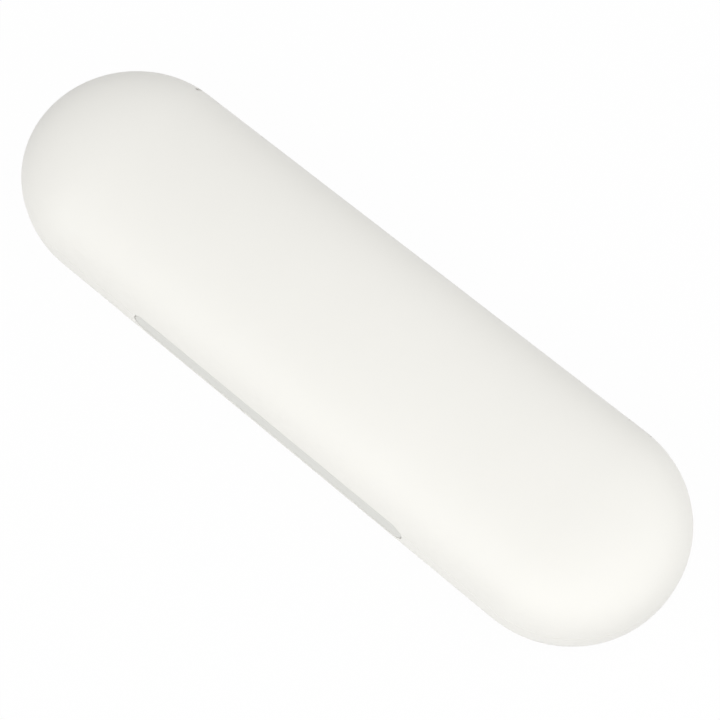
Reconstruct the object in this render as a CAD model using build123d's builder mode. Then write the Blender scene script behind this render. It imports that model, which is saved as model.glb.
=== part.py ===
from build123d import *
import os

# Electric toothbrush travel case: a pill-shaped clamshell, hinged along its back and held shut by
# a long release bar in its front edge. Millimetres. Z is up and the case rests on z = 0, X runs
# along its length, -Y is the front with the release bar and +Y is the back with the hinge.

# ---------------------------------------------------------------- closed case
case_length = 240.0
case_width = 69.0
base_height = 19.0            # resting face to parting plane
lid_height = 18.0             # parting plane to crown
wall = 1.8
lid_roundness = 0.70          # 0.55 gives an ellipse, 1 a box
base_roundness = 0.83
base_corner_reach = 4.5       # how far in the lower corner starts to turn flat
rest_width = 28.0             # raised land of the underside, which the case rests on
rest_rise = 0.4               # land proud of the belly around it
parting_gap = 0.15
rim_round = 0.2

# ---------------------------------------------------------------- clearances
moving_gap = 0.3              # between bodies that move
seat_gap = 0.1                # between pieces that are fitted together
running_gap = 0.05            # hinge pin in its knuckle, on the radius
press_gap = 0.01              # pin or screw in the plastic that grips it, on the radius
cut_margin = 1.0              # how far a cutting shape runs past what it cuts

# ---------------------------------------------------------------- locating tongue on the rim
tongue_height = 1.3
tongue_thickness = 0.8
tongue_play = 0.15
tongue_root = 1.0             # how far below the parting plane the tongue joins the wall
tongue_end_y = 8.0            # the tongue stops here, because behind it the lid swings forwards

# ---------------------------------------------------------------- hinge
hinge_drop_in = 3.3           # axis this far inside the back wall
hinge_rise = 4.25             # axis this far above the parting plane
barrel_radius = 4.4
lid_notch_overrun = 2.5       # cut-out along the back, past each end of the straight stretch
barrel_reach = 43.8           # thick stretch of the spine, from each end of the cut-out
spine_root = 1.0              # how far below the parting plane the spine joins the wall
spine_left_gap = 1.1          # open gap between the spine's left end and the lid
corner_relief = 1.7           # how much deeper the lid's cut-out is over that gap
spine_right_gap = 0.3
knuckle_from_end = 8.0        # outer side of a knuckle to the end of the cut-out
knuckle_width = 18.0
knuckle_web = 2.2             # how far in front of the axis the knuckle's web starts
pin_radius = 1.0
pin_from_end = 2.6            # outer end of a pin to the end of the cut-out
pin_length = 32.0
pin_chamfer = 0.25
cap_lobe_radius = 5.3         # lid rim behind the axis rolls in the base on this radius
cap_lobe_root = 1.0           # how far above the parting plane it joins the lid

# ---------------------------------------------------------------- release bar and latch
bar_length = 104.4
bar_height = 8.0
bar_rise = 2.0                # top of the bar above the parting plane
bar_thickness = 1.6
bar_gap = 0.25                # all round the bar in its window
bar_prism_depth = 6.0         # reach of the bar's outline into the case
bar_edge_round = 0.3
bar_travel = 1.5
slide_gap = 0.2
slide_thickness = 1.2
slide_flange = 1.5
slide_boss_inset = 0.8
hook_from_end = 23.0          # hook's middle to the end of the bar
hook_width = 9.0
hook_arm_thickness = 1.2
hook_nose_reach = 0.8
hook_nose_height = 1.5
hook_slot_side_gap = 0.5
ledge_bottom_rise = 3.6       # underside of the lid's ledge above the parting plane
ledge_height = 1.2
ledge_reach = 1.3             # past the lid's inner wall line
ledge_side_margin = 1.0
spring_from_end = 11.0
spring_drop = 5.4             # spring axis below the parting plane
spring_radius = 1.8
spring_wire = 0.45
spring_turns = 3.5
spring_seat_radius = 2.05
spring_seat_reach = 0.7        # past the slide's rear face at the parting plane
spring_peg_radius = 1.2
spring_peg_length = 1.0
spring_room = 3.8             # from its seat on the slide to the wall of the tray
guide_from_end = 3.0
guide_from_hook = 12.0
guide_thickness = 1.6
guide_depth = 4.0

# ---------------------------------------------------------------- what the case holds
handle_radius = 14.0
pad_thickness = 1.0
handle_play = 0.2
tail_margin = 16.9            # end of the channel to the end of the tray, at the handle's tail
shaft_margin = 19.9           # and at its drive shaft
shaft_length = 30.0
neck_length = 10.0
taper_length = 58.0
neck_radius = 10.2
shaft_radius = 5.0
channel_round = 4.0

pocket_length = 76.0
pocket_width = 15.2
pocket_floor = 5.5
pocket_gap = 10.0             # between the two pockets, which lie end to end
pocket_to_channel = 2.6
pocket_corner = 5.0
pocket_bottom_round = 4.0

scoop_to_taper = 30.0         # finger scoop behind the handle
scoop_behind_handle = 13.6
scoop_rise = 5.0              # centre of the scoop above the parting plane
scoop_radius = 11.0
mouth_round = 0.5             # edges of the channel and the pockets

# ---------------------------------------------------------------- tray, pads, liner, screws
tray_wall = 1.2
deck_drop = 1.5               # top of the tray below the parting plane
deck_thickness = 1.4
pad_width = 14.0
pad_to_tail = 16.0
pad_to_taper = 16.0
liner_thickness = 1.1
liner_rise = 10.0             # lower edge of the liner above the parting plane
saddles_to_tail = (39.0, 63.0)
saddle_thickness = 1.8
saddle_to_barrel = 0.4
saddle_rise = 2.0
saddle_play = 0.5
screw_to_end = 8.9            # end screws to the end of the tray
screw_past_shoulder = 6.0
screw_behind_handle = 15.6
screw_head_radius = 2.5
screw_head_height = 1.1
screw_head_round = 0.55
screw_seat_depth = 0.8
screw_radius = 1.1
screw_length = 9.0
cross_width = 0.7
cross_length = 3.0
cross_depth = 0.6
post_radius = 3.0

# ---------------------------------------------------------------- places worked out from these
parting = base_height
end_radius = case_width / 2
half_straight = case_length / 2 - end_radius
beyond = case_length          # longer than anything that a cutting block has to pass

hinge_y = end_radius - hinge_drop_in
hinge_z = parting + hinge_rise
notch_half = half_straight + lid_notch_overrun
spine_left_x = spine_left_gap - notch_half
spine_right_x = notch_half - spine_right_gap
knuckle_centre_x = notch_half - knuckle_from_end - knuckle_width / 2
pin_centre_x = notch_half - pin_from_end - pin_length / 2
lobe_end_x = half_straight + (end_radius**2 - hinge_y**2) ** 0.5 + moving_gap

hook_x = bar_length / 2 - hook_from_end
spring_x = bar_length / 2 - spring_from_end
outer_guide_x = bar_length / 2 - guide_from_end
inner_guide_x = hook_x - guide_from_hook
guide_places = (-outer_guide_x, -inner_guide_x, inner_guide_x, outer_guide_x)
bar_centre_z = parting + bar_rise - bar_height / 2
slide_front = wall + slide_gap
slide_rear = slide_front + slide_thickness
slide_middle_y = -end_radius + slide_front + slide_thickness / 2
ledge_tip_y = -(end_radius - wall - ledge_reach)
nose_tip_y = ledge_tip_y + moving_gap
arm_front_y = nose_tip_y + hook_nose_reach
arm_rear_y = arm_front_y + hook_arm_thickness
nose_bottom_z = parting + ledge_bottom_rise + ledge_height + moving_gap
hook_top_z = nose_bottom_z + hook_nose_height
spring_z = parting - spring_drop
spring_front_y = -(end_radius - slide_rear) + spring_seat_reach
bay_half = bar_length / 2 + slide_flange + moving_gap

channel_radius = handle_radius + handle_play + pad_thickness
handle_z = wall + moving_gap + tray_wall + channel_radius
deck_top = parting - deck_drop
deck_bottom = deck_top - deck_thickness
tray_radius = end_radius - wall - moving_gap
deck_front_y = -(end_radius - slide_rear) + bar_travel + moving_gap
tray_end_x = half_straight + tray_radius
pocket_front_y = spring_front_y + spring_room
pocket_centre_x = (pocket_gap + pocket_length) / 2
pocket_centre_y = pocket_front_y + tray_wall + pocket_width / 2
handle_y = pocket_centre_y + pocket_width / 2 + pocket_to_channel + channel_radius
tail_x = tail_margin - tray_end_x
shaft_end_x = tray_end_x - shaft_margin
shoulder_x = shaft_end_x - shaft_length
taper_end_x = shoulder_x - neck_length
taper_start_x = taper_end_x - taper_length
tail_pad_x = tail_x + pad_to_tail
neck_pad_x = taper_start_x - pad_to_taper
scoop_x = taper_start_x - scoop_to_taper
scoop_y = handle_y + scoop_behind_handle
saddle_half_width = hinge_y - barrel_radius - saddle_to_barrel - handle_y
screw_places = (
    (screw_to_end - tray_end_x, 0.0),
    (tray_end_x - screw_to_end, 0.0),
    (0.0, pocket_centre_y),
    (shoulder_x + screw_past_shoulder, handle_y + screw_behind_handle),
)
slide_bottom_z = bar_centre_z - bar_height / 2 - slide_flange
slide_top_z = deck_bottom - moving_gap


# ---------------------------------------------------------------- shared shapes
def lid_profile(inset):
    """Half section of the lid, its surface moved in by inset."""
    radius = end_radius - inset
    height = lid_height - inset
    Bezier(
        (radius, parting),
        (radius, parting + lid_roundness * height),
        (lid_roundness * radius, parting + height),
        (0, parting + height),
    )
    Polyline((0, parting + height), (0, parting), (radius, parting))


def base_profile(inset):
    """Half section of the base, its surface moved in by inset."""
    radius = end_radius - inset
    height = base_height - inset
    land_z = parting - height
    belly_z = land_z + rest_rise
    Bezier(
        (radius, parting),
        (radius, parting - base_roundness * height),
        (radius - base_corner_reach, belly_z),
        (rest_width / 2 + rest_rise, belly_z),
    )
    Polyline(
        (rest_width / 2 + rest_rise, belly_z),
        (rest_width / 2, land_z),
        (0, land_z),
        (0, parting),
        (radius, parting),
    )


def pill_form(profile, inset=0.0):
    """Solid with the pill's plan and the given half section."""
    with BuildPart(mode=Mode.PRIVATE) as form:
        with BuildSketch(Plane.YZ.offset(-half_straight)):
            with BuildLine():
                profile(inset)
            make_face()
            mirror(about=Plane.YZ)
        extrude(amount=2 * half_straight)
        for side in (-1, 1):
            centre = (side * half_straight, 0, 0)
            with BuildSketch(Plane(origin=centre, x_dir=(0, -side, 0), z_dir=(-side, 0, 0))):
                with BuildLine():
                    profile(inset)
                make_face()
            revolve(axis=Axis(centre, (0, 0, 1)), revolution_arc=180)
    return form.part


def case_form(inset=0.0):
    """Lid and base forms as one solid."""
    with BuildPart(mode=Mode.PRIVATE) as form:
        add(lid_forms(inset))
        add(base_forms(inset))
    return form.part


def cached(profile):
    """Pill forms by inset, each made once."""
    made = {}

    def form(inset=0.0):
        if inset not in made:
            made[inset] = pill_form(profile, inset)
        return made[inset]

    return form


lid_forms = cached(lid_profile)
base_forms = cached(base_profile)


def pill_plate(radius, bottom, top):
    """Flat plate with the pill's plan."""
    with BuildPart(mode=Mode.PRIVATE) as plate:
        with BuildSketch(Plane.XY.offset(bottom)):
            SlotOverall(2 * (half_straight + radius), 2 * radius)
        extrude(amount=top - bottom)
    return plate.part


def block(x_range, y_range, z_range):
    """Box between two values on each axis."""
    low = Vector(x_range[0], y_range[0], z_range[0])
    high = Vector(x_range[1], y_range[1], z_range[1])
    size = high - low
    middle = (low + high) / 2
    return Pos(middle) * Box(size.X, size.Y, size.Z, mode=Mode.PRIVATE)


def hinge_rod(radius, start_x, end_x):
    """Cylinder on the hinge axis between two x values."""
    with BuildPart(mode=Mode.PRIVATE) as rod:
        with BuildSketch(Plane(origin=(start_x, hinge_y, hinge_z), x_dir=(0, 1, 0), z_dir=(1, 0, 0))):
            Circle(radius)
        extrude(amount=end_x - start_x)
    return rod.part


def side_range(side, near, far):
    """X range from near to far on one side of the middle."""
    return (side * near, side * far) if side > 0 else (side * far, side * near)


def front_prism(grow):
    """Bar outline, grown all round, from in front of the case back into it."""
    front_y = -end_radius - cut_margin
    rear_y = -end_radius + bar_prism_depth
    with BuildPart(mode=Mode.PRIVATE) as prism:
        with BuildSketch(Plane.XZ.offset(-rear_y)):
            with Locations((0, bar_centre_z)):
                SlotOverall(bar_length + 2 * grow, bar_height + 2 * grow)
        extrude(amount=rear_y - front_y)
    return prism.part


def handle_form(grow):
    """Room for the handle, turned about its own axis and grown all round."""
    wide = channel_radius + grow
    neck = neck_radius + grow
    shaft = shaft_radius + grow
    with BuildPart(mode=Mode.PRIVATE) as form:
        with BuildSketch(Plane(origin=(0, handle_y, handle_z), x_dir=(1, 0, 0), z_dir=(0, -1, 0))):
            with BuildLine():
                Polyline(
                    (tail_x - grow, 0),
                    (tail_x - grow, wide),
                    (taper_start_x, wide),
                    (taper_end_x, neck),
                    (shoulder_x + grow, neck),
                    (shoulder_x + grow, shaft),
                    (shaft_end_x + grow, shaft),
                    (shaft_end_x + grow, 0),
                    close=True,
                )
            outline = make_face()
            tail_corner = outline.vertices().group_by(Axis.X)[0].sort_by(Axis.Z)[-1]
            fillet(tail_corner, channel_round + grow)
        revolve(axis=Axis((0, handle_y, handle_z), (1, 0, 0)), revolution_arc=360)
    return form.part


def pocket_form(side, grow):
    """Room for a brush head, grown all round below the deck."""
    with BuildPart(mode=Mode.PRIVATE) as form:
        with BuildSketch(Plane.XY.offset(deck_top)):
            with Locations((side * pocket_centre_x, pocket_centre_y)):
                RectangleRounded(pocket_length + 2 * grow, pocket_width + 2 * grow, pocket_corner + grow)
        extrude(amount=-(deck_top - pocket_floor + grow))
        fillet(form.faces().sort_by(Axis.Z)[0].edges(), pocket_bottom_round + grow)
    return form.part


def scoop_form(grow):
    """Ball that makes the finger scoop."""
    return Pos(scoop_x, scoop_y, parting + scoop_rise) * Sphere(scoop_radius + grow, mode=Mode.PRIVATE)


# ---------------------------------------------------------------- base shell
def spine_region(start_x, end_x):
    """Where the base rises above the parting plane to carry the hinge."""
    with BuildPart(mode=Mode.PRIVATE) as region:
        add(hinge_rod(barrel_radius, start_x, end_x))
        add(block((start_x, end_x), (hinge_y, end_radius), (parting - spine_root, hinge_z)))
    return region.part


def make_base_shell():
    outer = base_forms()
    inner = base_forms(wall)
    spine = spine_region(spine_left_x, spine_right_x)
    full_form = case_form()
    middle = notch_half - barrel_reach
    middle_hollow = case_form(wall) & block((-middle, middle), (0, end_radius), (0, beyond))
    tongue_bottom = parting - tongue_root
    tongue_top = parting + tongue_height
    tongue = pill_plate(end_radius - wall + tongue_thickness, tongue_bottom, tongue_top)
    tongue_hole = pill_plate(end_radius - wall, tongue_bottom - cut_margin, tongue_top + cut_margin)
    tongue_limit = block((-beyond, beyond), (-beyond, tongue_end_y), (0, beyond))
    bay = block((-bay_half, bay_half), (-beyond, 0), (parting, beyond))
    tongue_ring = (tongue - tongue_hole) & tongue_limit
    tongue_ring = tongue_ring - bay
    spine_solid = (spine & full_form) - middle_hollow
    window = front_prism(bar_gap)
    posts_room = base_forms(wall / 2)

    with BuildPart() as base_shell:
        add(outer)
        add(inner, mode=Mode.SUBTRACT)
        rim = base_shell.faces().sort_by(Axis.Z)[-1]
        fillet(rim.outer_wire().edges(), rim_round)
        add(spine_solid)
        add(tongue_ring)
        add(window, mode=Mode.SUBTRACT)
        for side in (-1, 1):
            near = knuckle_centre_x - knuckle_width / 2 - moving_gap
            far = knuckle_centre_x + knuckle_width / 2 + moving_gap
            slot = side_range(side, near, far)
            add(hinge_rod(barrel_radius + moving_gap, *slot), mode=Mode.SUBTRACT)
            add(
                block(slot, (hinge_y - barrel_radius - cut_margin, beyond), (parting, beyond)),
                mode=Mode.SUBTRACT,
            )
            bore = side_range(side, pin_centre_x - pin_length / 2 - cut_margin, notch_half)
            add(hinge_rod(pin_radius + press_gap, *bore), mode=Mode.SUBTRACT)
        relief_end_x = lobe_end_x + moving_gap
        for start_x, end_x in ((-relief_end_x, spine_left_x), (spine_right_x, relief_end_x)):
            add(hinge_rod(cap_lobe_radius + moving_gap, start_x, end_x), mode=Mode.SUBTRACT)
        for x, y in screw_places:
            post = Pos(x, y, deck_bottom / 2) * Cylinder(post_radius, deck_bottom, mode=Mode.PRIVATE)
            add(post & posts_room)
            with Locations((x, y, deck_bottom)):
                Hole(screw_radius + press_gap, screw_length)
        for x in guide_places:
            rib = block(
                (x - guide_thickness / 2, x + guide_thickness / 2),
                (-end_radius, -end_radius + wall + guide_depth),
                (0, slide_bottom_z - moving_gap),
            )
            add(rib & posts_room)
    return base_shell


base_shell = make_base_shell()
base_shell.part.label = "base_shell"


# ---------------------------------------------------------------- lid shell
def make_lid_shell():
    above = block((-beyond, beyond), (-beyond, beyond), (parting + parting_gap, beyond))
    recess_top = parting + tongue_height + moving_gap
    recess_radius = end_radius - wall + tongue_thickness + tongue_play
    recess = pill_plate(recess_radius, parting - cut_margin, recess_top)
    recess_limit = block((-beyond, beyond), (-beyond, tongue_end_y + moving_gap), (0, beyond))
    recess = recess & recess_limit
    case_wall = case_form() - case_form(wall)
    swing = hinge_rod(barrel_radius + moving_gap, -notch_half, notch_half)
    corner = hinge_rod(barrel_radius + moving_gap + corner_relief, -notch_half, spine_left_x)
    below_axis = block((-notch_half, notch_half), (hinge_y - barrel_radius, beyond), (0, hinge_z))
    notch = front_prism(bar_gap)

    with BuildPart() as lid_shell:
        add(lid_forms())
        add(lid_forms(wall), mode=Mode.SUBTRACT)
        add(above, mode=Mode.INTERSECT)
        rim = lid_shell.faces().sort_by(Axis.Z)[0]
        fillet(rim.outer_wire().edges(), rim_round)
        add(recess, mode=Mode.SUBTRACT)
        add(swing, mode=Mode.SUBTRACT)
        add(below_axis, mode=Mode.SUBTRACT)
        add(corner, mode=Mode.SUBTRACT)
        for side in (-1, 1):
            reach = knuckle_width / 2
            place = (side * knuckle_centre_x - reach, side * knuckle_centre_x + reach)
            knuckle = hinge_rod(barrel_radius, *place)
            knuckle = knuckle + block(
                place, (hinge_y - knuckle_web, end_radius), (hinge_z, hinge_z + barrel_radius + cut_margin)
            )
            knuckle = knuckle & lid_forms()
            add(knuckle & above)
            add(hinge_rod(pin_radius + running_gap, *place), mode=Mode.SUBTRACT)
            lobe = hinge_rod(cap_lobe_radius, *side_range(side, notch_half, lobe_end_x))
            lobe = lobe & block((-beyond, beyond), (0, beyond), (0, parting + cap_lobe_root))
            add(lobe & case_wall)
            ledge_half = hook_width / 2 + ledge_side_margin
            ledge = block(
                (side * hook_x - ledge_half, side * hook_x + ledge_half),
                (-end_radius + wall / 2, ledge_tip_y),
                (parting + ledge_bottom_rise, parting + ledge_bottom_rise + ledge_height),
            )
            add(ledge)
        add(notch, mode=Mode.SUBTRACT)
    return lid_shell


lid_shell = make_lid_shell()
lid_shell.part.label = "lid_shell"


# ---------------------------------------------------------------- release bar
def make_release_bar():
    skin = case_form() - case_form(bar_thickness)
    with BuildPart() as release_bar:
        add(front_prism(0) & skin)
        front = release_bar.faces().sort_by(Axis.Y)[0]
        fillet(front.outer_wire().edges(), bar_edge_round)
    return release_bar


release_bar = make_release_bar()
release_bar.part.label = "release_bar"


# ---------------------------------------------------------------- latch slide behind the bar
def make_latch_slide():
    plate_skin = case_form(slide_front) - case_form(slide_rear)
    boss_skin = case_form(bar_thickness) - case_form(slide_rear)
    below_deck = block((-beyond, beyond), (-beyond, 0), (0, slide_top_z))
    with BuildPart() as latch_slide:
        add(front_prism(slide_flange) & plate_skin & below_deck)
        add(front_prism(-slide_boss_inset) & boss_skin)
        for side in (-1, 1):
            place = (side * hook_x - hook_width / 2, side * hook_x + hook_width / 2)
            add(block(place, (slide_middle_y, arm_rear_y), (slide_bottom_z + slide_flange, slide_top_z)))
            add(block(place, (arm_front_y, arm_rear_y), (slide_bottom_z + slide_flange, hook_top_z)))
            add(block(place, (nose_tip_y, arm_rear_y), (nose_bottom_z, hook_top_z)))
            with BuildSketch(Plane(origin=(side * spring_x, slide_middle_y, spring_z), z_dir=(0, 1, 0))):
                Circle(spring_seat_radius)
            extrude(amount=spring_front_y - slide_middle_y)
            with BuildSketch(Plane(origin=(side * spring_x, spring_front_y, spring_z), z_dir=(0, 1, 0))):
                Circle(spring_peg_radius)
            extrude(amount=spring_peg_length)
    return latch_slide


latch_slide = make_latch_slide()
latch_slide.part.label = "latch_slide"


# ---------------------------------------------------------------- springs behind the slide
def make_latch_spring(side):
    start_y = spring_front_y + seat_gap + spring_wire / 2
    length = pocket_front_y - seat_gap - spring_wire / 2 - start_y
    with BuildPart() as latch_spring:
        with BuildLine() as coil:
            Helix(
                pitch=length / spring_turns,
                height=length,
                radius=spring_radius,
                center=(side * spring_x, start_y, spring_z),
                direction=(0, 1, 0),
            )
        with BuildSketch(Plane(origin=coil.line @ 0, z_dir=coil.line % 0)):
            Circle(spring_wire / 2)
        sweep(is_frenet=True)
    return latch_spring


latch_spring_left = make_latch_spring(-1)
latch_spring_left.part.label = "latch_spring_left"
latch_spring_right = make_latch_spring(1)
latch_spring_right.part.label = "latch_spring_right"


# ---------------------------------------------------------------- hinge pins
def make_hinge_pin(side):
    middle = side * pin_centre_x
    with BuildPart() as hinge_pin:
        add(hinge_rod(pin_radius, middle - pin_length / 2, middle + pin_length / 2))
        chamfer(hinge_pin.edges().filter_by(GeomType.CIRCLE), pin_chamfer)
    return hinge_pin


hinge_pin_left = make_hinge_pin(-1)
hinge_pin_left.part.label = "hinge_pin_left"
hinge_pin_right = make_hinge_pin(1)
hinge_pin_right.part.label = "hinge_pin_right"


# ---------------------------------------------------------------- tray
def make_base_tray():
    below = block((-beyond, beyond), (-beyond, beyond), (0, deck_top))
    channel = handle_form(tray_wall) & below
    hook_slot_half = hook_width / 2 + hook_slot_side_gap
    with BuildPart() as base_tray:
        add(pill_plate(tray_radius, deck_bottom, deck_top))
        add(block((-bay_half, bay_half), (-beyond, deck_front_y), (0, beyond)), mode=Mode.SUBTRACT)
        for side in (-1, 1):
            hook_slot = block(
                (side * hook_x - hook_slot_half, side * hook_x + hook_slot_half),
                (-beyond, arm_rear_y + bar_travel + moving_gap),
                (0, beyond),
            )
            add(hook_slot, mode=Mode.SUBTRACT)
        add(channel)
        add(scoop_form(tray_wall) & below)
        for side in (-1, 1):
            add(pocket_form(side, tray_wall))
        add(handle_form(0), mode=Mode.SUBTRACT)
        add(scoop_form(0), mode=Mode.SUBTRACT)
        for side in (-1, 1):
            add(pocket_form(side, 0), mode=Mode.SUBTRACT)
        add(base_forms(wall + moving_gap), mode=Mode.INTERSECT)
        deck = base_tray.faces().group_by(Axis.Z)[-1].sort_by(SortBy.AREA)[-1]
        fillet([mouth.edges() for mouth in deck.inner_wires()], mouth_round)
        for x, y in screw_places:
            with Locations((x, y, deck_top)):
                CounterBoreHole(screw_radius + seat_gap, screw_head_radius + seat_gap, screw_seat_depth)
    return base_tray


base_tray = make_base_tray()
base_tray.part.label = "base_tray"


# ---------------------------------------------------------------- tray screws
def make_tray_screws():
    seat_z = deck_top - screw_seat_depth
    head_top = seat_z + screw_head_height
    with BuildPart() as tray_screws:
        for x, y in screw_places:
            with BuildSketch(Plane(origin=(x, y, seat_z))):
                Circle(screw_head_radius)
            extrude(amount=screw_head_height)
            with BuildSketch(Plane(origin=(x, y, seat_z))):
                Circle(screw_radius)
            extrude(amount=-screw_length)
        heads = tray_screws.faces().group_by(Axis.Z)[-1]
        fillet([head.outer_wire().edges() for head in heads], screw_head_round)
        for x, y in screw_places:
            with BuildSketch(Plane(origin=(x, y, head_top))):
                Rectangle(cross_length, cross_width)
                Rectangle(cross_width, cross_length)
            extrude(amount=-cross_depth, mode=Mode.SUBTRACT)
    return tray_screws


tray_screws = make_tray_screws()
tray_screws.part.label = "tray_screws"


# ---------------------------------------------------------------- soft saddles under the handle
def make_handle_pad(centre_x):
    plane = Plane(
        origin=(centre_x - pad_width / 2, handle_y, handle_z), x_dir=(0, 1, 0), z_dir=(1, 0, 0)
    )
    with BuildPart() as handle_pad:
        with BuildSketch(plane):
            Circle(channel_radius - seat_gap)
            Circle(channel_radius - pad_thickness, mode=Mode.SUBTRACT)
        extrude(amount=pad_width)
        add(
            block((-beyond, beyond), (-beyond, beyond), (0, deck_top - seat_gap)),
            mode=Mode.INTERSECT,
        )
    return handle_pad


handle_pad_tail = make_handle_pad(tail_pad_x)
handle_pad_tail.part.label = "handle_pad_tail"
handle_pad_neck = make_handle_pad(neck_pad_x)
handle_pad_neck.part.label = "handle_pad_neck"


# ---------------------------------------------------------------- lid liner
def make_lid_liner():
    outer_inset = wall + seat_gap
    inner_inset = outer_inset + liner_thickness
    above = block((-beyond, beyond), (-beyond, beyond), (parting + liner_rise, beyond))
    handle_room = Pos(0, handle_y, handle_z) * Rot(0, 90, 0) * Cylinder(handle_radius + saddle_play, beyond)
    with BuildPart() as lid_liner:
        add(lid_forms(outer_inset))
        add(lid_forms(inner_inset), mode=Mode.SUBTRACT)
        add(above, mode=Mode.INTERSECT)
        for reach in saddles_to_tail:
            x = tail_x + reach
            saddle = block(
                (x - saddle_thickness / 2, x + saddle_thickness / 2),
                (handle_y - saddle_half_width, handle_y + saddle_half_width),
                (parting + saddle_rise, beyond),
            )
            saddle = saddle & lid_forms((outer_inset + inner_inset) / 2)
            add(saddle - handle_room)
    return lid_liner


lid_liner = make_lid_liner()
lid_liner.part.label = "lid_liner"


# ---------------------------------------------------------------- files
pieces = (
    base_shell,
    lid_shell,
    release_bar,
    latch_slide,
    latch_spring_left,
    latch_spring_right,
    hinge_pin_left,
    hinge_pin_right,
    base_tray,
    tray_screws,
    handle_pad_tail,
    handle_pad_neck,
    lid_liner,
)
os.makedirs("parts", exist_ok=True)
for piece in pieces:
    export_step(piece.part, "parts/" + piece.part.label + ".step")
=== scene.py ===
import math

import bmesh
import bpy
from mathutils import Matrix, Vector


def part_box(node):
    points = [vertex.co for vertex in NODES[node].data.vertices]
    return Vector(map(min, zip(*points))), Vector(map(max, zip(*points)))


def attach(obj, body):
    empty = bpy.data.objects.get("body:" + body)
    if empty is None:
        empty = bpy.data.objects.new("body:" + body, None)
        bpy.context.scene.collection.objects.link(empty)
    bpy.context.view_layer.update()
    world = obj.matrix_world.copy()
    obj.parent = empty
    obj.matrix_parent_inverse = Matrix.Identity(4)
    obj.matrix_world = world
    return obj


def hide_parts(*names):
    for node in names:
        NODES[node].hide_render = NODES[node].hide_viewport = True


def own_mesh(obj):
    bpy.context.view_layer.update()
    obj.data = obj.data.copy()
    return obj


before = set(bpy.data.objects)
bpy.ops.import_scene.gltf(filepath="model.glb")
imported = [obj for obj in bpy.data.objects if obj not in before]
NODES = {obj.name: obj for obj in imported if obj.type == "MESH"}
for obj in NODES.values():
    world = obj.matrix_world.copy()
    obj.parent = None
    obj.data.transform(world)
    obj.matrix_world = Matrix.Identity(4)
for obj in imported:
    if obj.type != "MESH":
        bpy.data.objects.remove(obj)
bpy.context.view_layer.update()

# Electric toothbrush travel case: materials for the frame's nodes, finer coils and saddles in place
# of the frame's plain ones, and the camera, floor and light around them. Metres, as in the frame.
# Azimuth 0 is the front, on -Y, and 90 is the +X end.

MM = 0.001

# ---------------------------------------------------------------- camera
CAMERA_AZIMUTH = math.radians(41.39)
CAMERA_ELEVATION = math.radians(64.84)
CAMERA_DISTANCE = 0.5809
CAMERA_LENS = 99.09            # mm, as is the sensor's width
SENSOR_WIDTH = 36.0
LOOK_AT = Vector((0.00764, -0.00130, 0.019))

# ---------------------------------------------------------------- light and floor
WORLD_LEVEL = 0.415
LAMP_DISTANCE = 1.2
LAMP_SIZE = 1.3
LAMP_TARGET = Vector((0.0, 0.0, 0.02))
LAMPS = {                      # name: azimuth and elevation in degrees, power in watts
    "front": (0, 33, 7.0),
    "high": (0, 65, 3.05),
    "side": (90, 33, 3.4),
    "back": (150, 48, 5.4),
}
FLOOR_HALF_WIDTH = 4.0
FLOOR_HEIGHT = -0.02 * MM      # just under the resting face, so that the two aren't in one plane
FLOOR_COLOR = (0.82, 0.82, 0.82)
FLOOR_ROUGHNESS = 0.9
FLOOR_WHITE = 0.97             # share of plain white in the floor as seen; the rest has the shadow

# ---------------------------------------------------------------- surface detail
COLOR_RAMP = (0.35, 0.65)      # noise values between which a colour goes from dark to light
GLOSS_RAMP = (0.3, 0.7)        # noise values between which a roughness goes from low to high
FLOW_SCALE = 22.0              # per metre: flow mottle is a few centimetres across
FLOW_DETAIL = 3.0
FINE_DETAIL = 2.0              # of grain and drawing lines
GRAIN_GLOSS_SPREAD = 0.04      # how far the grain takes the roughness up and down
LINE_SCALE = 900.0             # per metre, across the lines
LINE_SHADE = 0.88              # share of the colour that is left in a line
LINE_GLOSS_DROP = 0.07
LINE_GLOSS_RISE = 0.09
LINE_DEPTH = 0.004 * MM

# ---------------------------------------------------------------- coils behind the release bar
SPRING_WIRE = 0.45 * MM
SPRING_TURNS = 4.5
SPRING_END_TURNS = 0.8         # closed turns at each end
STEPS_PER_TURN = 36
WIRE_SIDES = 12

# ---------------------------------------------------------------- saddles under the handle
SADDLE_THICKNESS = 0.9 * MM
SADDLE_EDGE = 0.4 * MM         # radius of the rounded outer edges
SADDLE_TIP = 0.2               # share of the thickness that is left at each end of the arc
SADDLE_ARC_STEPS = 72
SADDLE_EDGE_STEPS = 5
GROOVE_COUNT = 6
GROOVE_DEPTH = 0.42 * MM
GROOVE_SHAPE = 0.6             # under 1 the grooves are broad and the ribs between them narrow
STEPS_PER_GROOVE = 16


def view_axes(azimuth, elevation):
    """Right, up and back of something that stands there and looks at its target."""
    flat = math.cos(elevation)
    back = Vector((math.sin(azimuth) * flat, -math.cos(azimuth) * flat, math.sin(elevation)))
    right = Vector((math.cos(azimuth), math.sin(azimuth), 0.0))
    return right, back.cross(right), back


def place(thing, azimuth, elevation, distance, target):
    right, up, back = view_axes(azimuth, elevation)
    turn = Matrix((right, up, back)).transposed().to_4x4()
    thing.matrix_world = Matrix.Translation(target + back * distance) @ turn


def add_object(name, data):
    thing = bpy.data.objects.new(name, data)
    bpy.context.scene.collection.objects.link(thing)
    return thing


def make_camera():
    data = bpy.data.cameras.new("camera")
    data.lens = CAMERA_LENS
    data.sensor_width = SENSOR_WIDTH
    camera = add_object("camera", data)
    place(camera, CAMERA_AZIMUTH, CAMERA_ELEVATION, CAMERA_DISTANCE, LOOK_AT)
    bpy.context.scene.camera = camera


# ---------------------------------------------------------------- materials
def new_material(name):
    material = bpy.data.materials.new(name)
    material.use_nodes = True
    tree = material.node_tree
    return material, tree, tree.nodes["Principled BSDF"]


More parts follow.
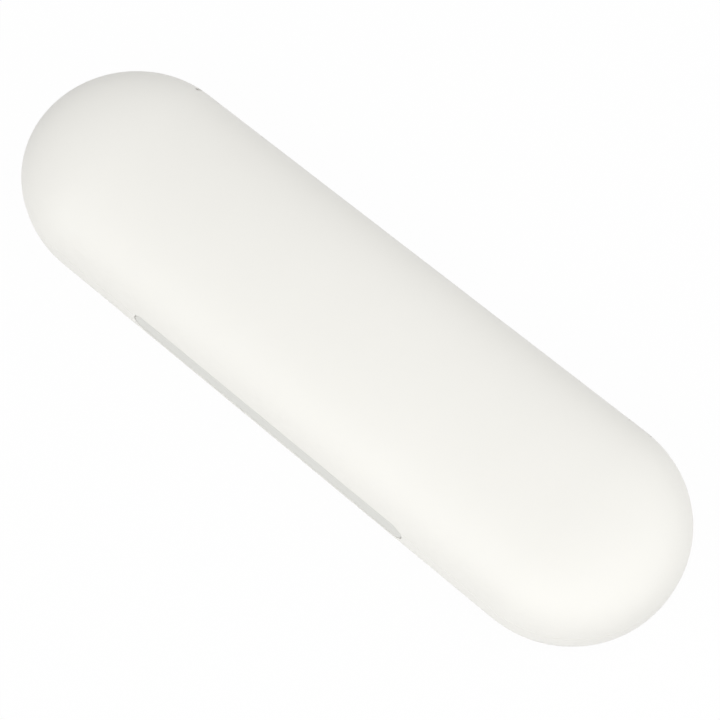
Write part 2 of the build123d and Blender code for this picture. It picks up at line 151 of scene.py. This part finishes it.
def noise(tree, scale, detail, axis_scale=(1.0, 1.0, 1.0)):
    """Fac of a noise in the object's own metres, drawn out along an axis whose scale is under 1."""
    coords = tree.nodes.new("ShaderNodeTexCoord")
    mapping = tree.nodes.new("ShaderNodeMapping")
    mapping.inputs["Scale"].default_value = axis_scale
    texture = tree.nodes.new("ShaderNodeTexNoise")
    texture.inputs["Scale"].default_value = scale
    texture.inputs["Detail"].default_value = detail
    tree.links.new(coords.outputs["Object"], mapping.inputs["Vector"])
    tree.links.new(mapping.outputs["Vector"], texture.inputs["Vector"])
    return texture.outputs["Fac"]


def vary_color(tree, shader, fac, dark, light):
    tone = tree.nodes.new("ShaderNodeValToRGB")
    for element, position, color in zip(tone.color_ramp.elements, COLOR_RAMP, (dark, light)):
        element.position = position
        element.color = (*color, 1.0)
    tree.links.new(fac, tone.inputs["Fac"])
    tree.links.new(tone.outputs["Color"], shader.inputs["Base Color"])


def vary_roughness(tree, shader, fac, low, high):
    gloss = tree.nodes.new("ShaderNodeMapRange")
    gloss.inputs["From Min"].default_value = GLOSS_RAMP[0]
    gloss.inputs["From Max"].default_value = GLOSS_RAMP[1]
    gloss.inputs["To Min"].default_value = low
    gloss.inputs["To Max"].default_value = high
    tree.links.new(fac, gloss.inputs["Value"])
    tree.links.new(gloss.outputs["Result"], shader.inputs["Roughness"])


def add_bump(tree, shader, fac, depth):
    bump = tree.nodes.new("ShaderNodeBump")
    bump.inputs["Strength"].default_value = 1.0
    bump.inputs["Distance"].default_value = depth
    tree.links.new(fac, bump.inputs["Height"])
    tree.links.new(bump.outputs["Normal"], shader.inputs["Normal"])


def plastic(name, color, roughness, grain_scale, grain_depth, mottle=0.012):
    """Moulded plastic: faint flow mottle, and a spark-eroded grain in its bump and gloss."""
    material, tree, shader = new_material(name)
    flow = noise(tree, FLOW_SCALE, FLOW_DETAIL)
    vary_color(tree, shader, flow, [c * (1.0 - mottle) for c in color], color)
    grain = noise(tree, grain_scale, FINE_DETAIL)
    vary_roughness(
        tree, shader, grain, roughness - GRAIN_GLOSS_SPREAD, roughness + GRAIN_GLOSS_SPREAD
    )
    add_bump(tree, shader, grain, grain_depth)
    return material


def drawn_steel(name, color, roughness, axis_scale):
    """Bright steel with fine drawing lines, which run along the axis whose scale is under 1."""
    material, tree, shader = new_material(name)
    shader.inputs["Metallic"].default_value = 1.0
    lines = noise(tree, LINE_SCALE, FINE_DETAIL, axis_scale)
    vary_color(tree, shader, lines, [c * LINE_SHADE for c in color], color)
    vary_roughness(tree, shader, lines, roughness - LINE_GLOSS_DROP, roughness + LINE_GLOSS_RISE)
    add_bump(tree, shader, lines, LINE_DEPTH)
    return material


SHELL = plastic("satin_shell_plastic", (0.83, 0.82, 0.78), 0.50, 2400.0, 0.016 * MM)
BAR = plastic("grey_bar_plastic", (0.672, 0.673, 0.638), 0.42, 2600.0, 0.01 * MM)
SLIDE = plastic("natural_acetal", (0.74, 0.735, 0.70), 0.36, 1800.0, 0.01 * MM)
TRAY = plastic("matte_tray_plastic", (0.78, 0.775, 0.745), 0.60, 1300.0, 0.04 * MM)
SADDLE = plastic("saddle_elastomer", (0.36, 0.37, 0.37), 0.72, 1700.0, 0.03 * MM, mottle=0.06)
PIN = drawn_steel("pin_steel", (0.60, 0.595, 0.585), 0.26, (0.05, 1.0, 1.0))
WIRE = drawn_steel("spring_wire_steel", (0.58, 0.575, 0.565), 0.24, (1.0, 1.0, 1.0))
ZINC = drawn_steel("zinc_plated_steel", (0.50, 0.505, 0.515), 0.33, (1.0, 0.15, 1.0))


def dress(material, *nodes):
    for node in nodes:
        mesh = NODES[node].data
        for slot in range(len(mesh.materials)):
            mesh.materials[slot] = material


def dress_frame():
    dress(SHELL, "base_shell", "lid_shell")
    dress(BAR, "release_bar")
    dress(SLIDE, "latch_slide")
    dress(TRAY, "base_tray", "lid_liner")
    dress(PIN, "hinge_pin_left", "hinge_pin_right")
    dress(ZINC, "tray_screws")


# ---------------------------------------------------------------- pieces of the scene's own
def mesh_object(name, rings, material):
    """Skin over a list of closed rings with equal numbers of points, with a cap on each end."""
    mesh = bmesh.new()
    rows = [[mesh.verts.new(point) for point in ring] for ring in rings]
    count = len(rows[0])
    for row, following in zip(rows, rows[1:]):
        for i in range(count):
            j = (i + 1) % count
            mesh.faces.new((row[i], row[j], following[j], following[i]))
    mesh.faces.new(list(reversed(rows[0])))
    mesh.faces.new(rows[-1])
    bmesh.ops.recalc_face_normals(mesh, faces=mesh.faces)
    for face in mesh.faces:
        face.smooth = len(face.verts) == 4
    data = bpy.data.meshes.new(name)
    mesh.to_mesh(data)
    mesh.free()
    data.materials.append(material)
    return add_object(name, data)


def make_spring(side):
    """Compression spring with closed ends, in place of the frame's plain coil."""
    node = "latch_spring_" + side
    low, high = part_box(node)
    centre = (low + high) / 2
    radius = (high.x - low.x - SPRING_WIRE) / 2
    start = low.y + SPRING_WIRE / 2
    length = high.y - low.y - SPRING_WIRE
    steps = int(SPRING_TURNS * STEPS_PER_TURN)
    end_share = SPRING_END_TURNS / SPRING_TURNS
    end_pitch = SPRING_WIRE * SPRING_END_TURNS / length
    axis = Vector((0.0, 1.0, 0.0))

    def along(share):
        """How far along the axis the wire has come, with closed turns at both ends."""
        if share < end_share:
            return end_pitch * share / end_share
        if share > 1.0 - end_share:
            return 1.0 - end_pitch * (1.0 - share) / end_share
        open_share = (share - end_share) / (1.0 - 2 * end_share)
        return end_pitch + (1.0 - 2 * end_pitch) * open_share

    rings = []
    for step in range(steps + 1):
        share = step / steps
        turn = math.tau * SPRING_TURNS * share
        outward = Vector((math.cos(turn), 0.0, math.sin(turn)))
        middle = Vector((centre.x, start + length * along(share), centre.z)) + outward * radius
        rings.append([
            middle + (outward * math.cos(a) + axis * math.sin(a)) * SPRING_WIRE / 2
            for a in (math.tau * i / WIRE_SIDES for i in range(WIRE_SIDES))
        ])
    spring = mesh_object("coil_spring_" + side, rings, WIRE)
    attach(spring, "base")
    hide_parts(node)
    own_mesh(spring)


def saddle_section(low_x, high_x, inner, outer):
    """Closed outline across a saddle, as (x, radius): grooved top, rounded edges, underside."""
    edges = (low_x + SADDLE_EDGE, high_x - SADDLE_EDGE)
    steps = STEPS_PER_GROOVE * GROOVE_COUNT
    top = []
    for i in range(steps + 1):
        share = i / steps
        wave = 0.5 - 0.5 * math.cos(math.tau * GROOVE_COUNT * share)
        x = edges[0] + (edges[1] - edges[0]) * share
        top.append((x, inner + GROOVE_DEPTH * wave ** GROOVE_SHAPE))

    def rounded(edge_x, side):
        angles = [math.pi / 2 * k / SADDLE_EDGE_STEPS for k in range(1, SADDLE_EDGE_STEPS + 1)]
        return [
            (edge_x + side * SADDLE_EDGE * math.sin(a), inner + SADDLE_EDGE * (1 - math.cos(a)))
            for a in angles
        ]

    underside = [(high_x, outer), (low_x, outer)]
    return top + rounded(edges[1], 1) + underside + list(reversed(rounded(edges[0], -1)))


def make_saddle(node):
    """Half-round elastomer saddle with grooves round it, where the handle rests."""
    low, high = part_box(node)
    half_width = (high.y - low.y) / 2
    centre_y = (low.y + high.y) / 2
    centre_z = (half_width ** 2 / (high.z - low.z) + low.z + high.z) / 2
    outer = centre_z - low.z
    inner = outer - SADDLE_THICKNESS
    middle = (inner + outer) / 2
    section = saddle_section(low.x, high.x, inner, outer)
    end_angle = math.asin((centre_z - high.z) / outer)
    arc_angle = math.pi - 2 * end_angle
    end_round = SADDLE_THICKNESS / 2

    rings = []
    for step in range(SADDLE_ARC_STEPS + 1):
        share = step / SADDLE_ARC_STEPS
        angle = math.pi + end_angle + arc_angle * share
        to_end = min(share, 1 - share) * arc_angle * outer
        pinch = 1.0
        if to_end < end_round:
            rise = math.sqrt(max(0.0, 1.0 - (1.0 - to_end / end_round) ** 2))
            pinch = SADDLE_TIP + (1.0 - SADDLE_TIP) * rise
        outward = Vector((0.0, math.cos(angle), math.sin(angle)))
        rings.append([
            Vector((x, centre_y, centre_z)) + outward * (middle + (radius - middle) * pinch)
            for x, radius in section
        ])
    saddle = mesh_object(node.replace("handle_pad", "ribbed_saddle"), rings, SADDLE)
    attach(saddle, "base")
    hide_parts(node)


# ---------------------------------------------------------------- floor, backdrop and lamps
def seen_or_mirrored(tree, share):
    """The share for rays from the camera, off gloss or through glass, and none for the rest."""
    path = tree.nodes.new("ShaderNodeLightPath")
    output = path.outputs["Is Camera Ray"]
    for ray in ("Is Glossy Ray", "Is Transmission Ray"):
        either = tree.nodes.new("ShaderNodeMath")
        either.operation = "MAXIMUM"
        tree.links.new(output, either.inputs[0])
        tree.links.new(path.outputs[ray], either.inputs[1])
        output = either.outputs["Value"]
    scaled = tree.nodes.new("ShaderNodeMath")
    scaled.operation = "MULTIPLY"
    scaled.inputs[1].default_value = share
    tree.links.new(output, scaled.inputs[0])
    return scaled.outputs["Value"]


def mix_in_white(tree, kind, own, output_node, share):
    """White of strength 1, mixed over a shader's own output for what is seen or mirrored."""
    white = tree.nodes.new(kind)
    white.inputs["Color"].default_value = (1.0, 1.0, 1.0, 1.0)
    white.inputs["Strength"].default_value = 1.0
    mix = tree.nodes.new("ShaderNodeMixShader")
    tree.links.new(seen_or_mirrored(tree, share), mix.inputs["Fac"])
    tree.links.new(own, mix.inputs[1])
    tree.links.new(white.outputs[0], mix.inputs[2])
    tree.links.new(mix.outputs["Shader"], output_node.inputs["Surface"])


def make_floor():
    mesh = bpy.data.meshes.new("floor")
    signs = ((-1, -1), (1, -1), (1, 1), (-1, 1))
    corners = [(x * FLOOR_HALF_WIDTH, y * FLOOR_HALF_WIDTH, FLOOR_HEIGHT) for x, y in signs]
    mesh.from_pydata(corners, [], [(0, 1, 2, 3)])
    material, tree, shader = new_material("floor_paper")
    shader.inputs["Base Color"].default_value = (*FLOOR_COLOR, 1.0)
    shader.inputs["Roughness"].default_value = FLOOR_ROUGHNESS
    shader.inputs["Specular IOR Level"].default_value = 0.0
    output_node = tree.nodes["Material Output"]
    mix_in_white(tree, "ShaderNodeEmission", shader.outputs["BSDF"], output_node, FLOOR_WHITE)
    mesh.materials.append(material)
    add_object("floor", mesh)


def make_world():
    world = bpy.data.worlds.new("world")
    bpy.context.scene.world = world
    world.use_nodes = True
    tree = world.node_tree
    background = tree.nodes["Background"]
    background.inputs["Color"].default_value = (1.0, 1.0, 1.0, 1.0)
    background.inputs["Strength"].default_value = WORLD_LEVEL
    output_node = tree.nodes["World Output"]
    mix_in_white(tree, "ShaderNodeBackground", background.outputs["Background"], output_node, 1.0)


def make_lamps():
    for name, (azimuth, elevation, power) in LAMPS.items():
        data = bpy.data.lights.new(name, "AREA")
        data.shape = "SQUARE"
        data.size = LAMP_SIZE
        data.energy = power
        lamp = add_object(name, data)
        place(lamp, math.radians(azimuth), math.radians(elevation), LAMP_DISTANCE, LAMP_TARGET)


make_camera()
dress_frame()
make_spring("left")
make_spring("right")
make_saddle("handle_pad_tail")
make_saddle("handle_pad_neck")
make_floor()
make_world()
make_lamps()
bpy.context.scene.view_settings.view_transform = "Standard"
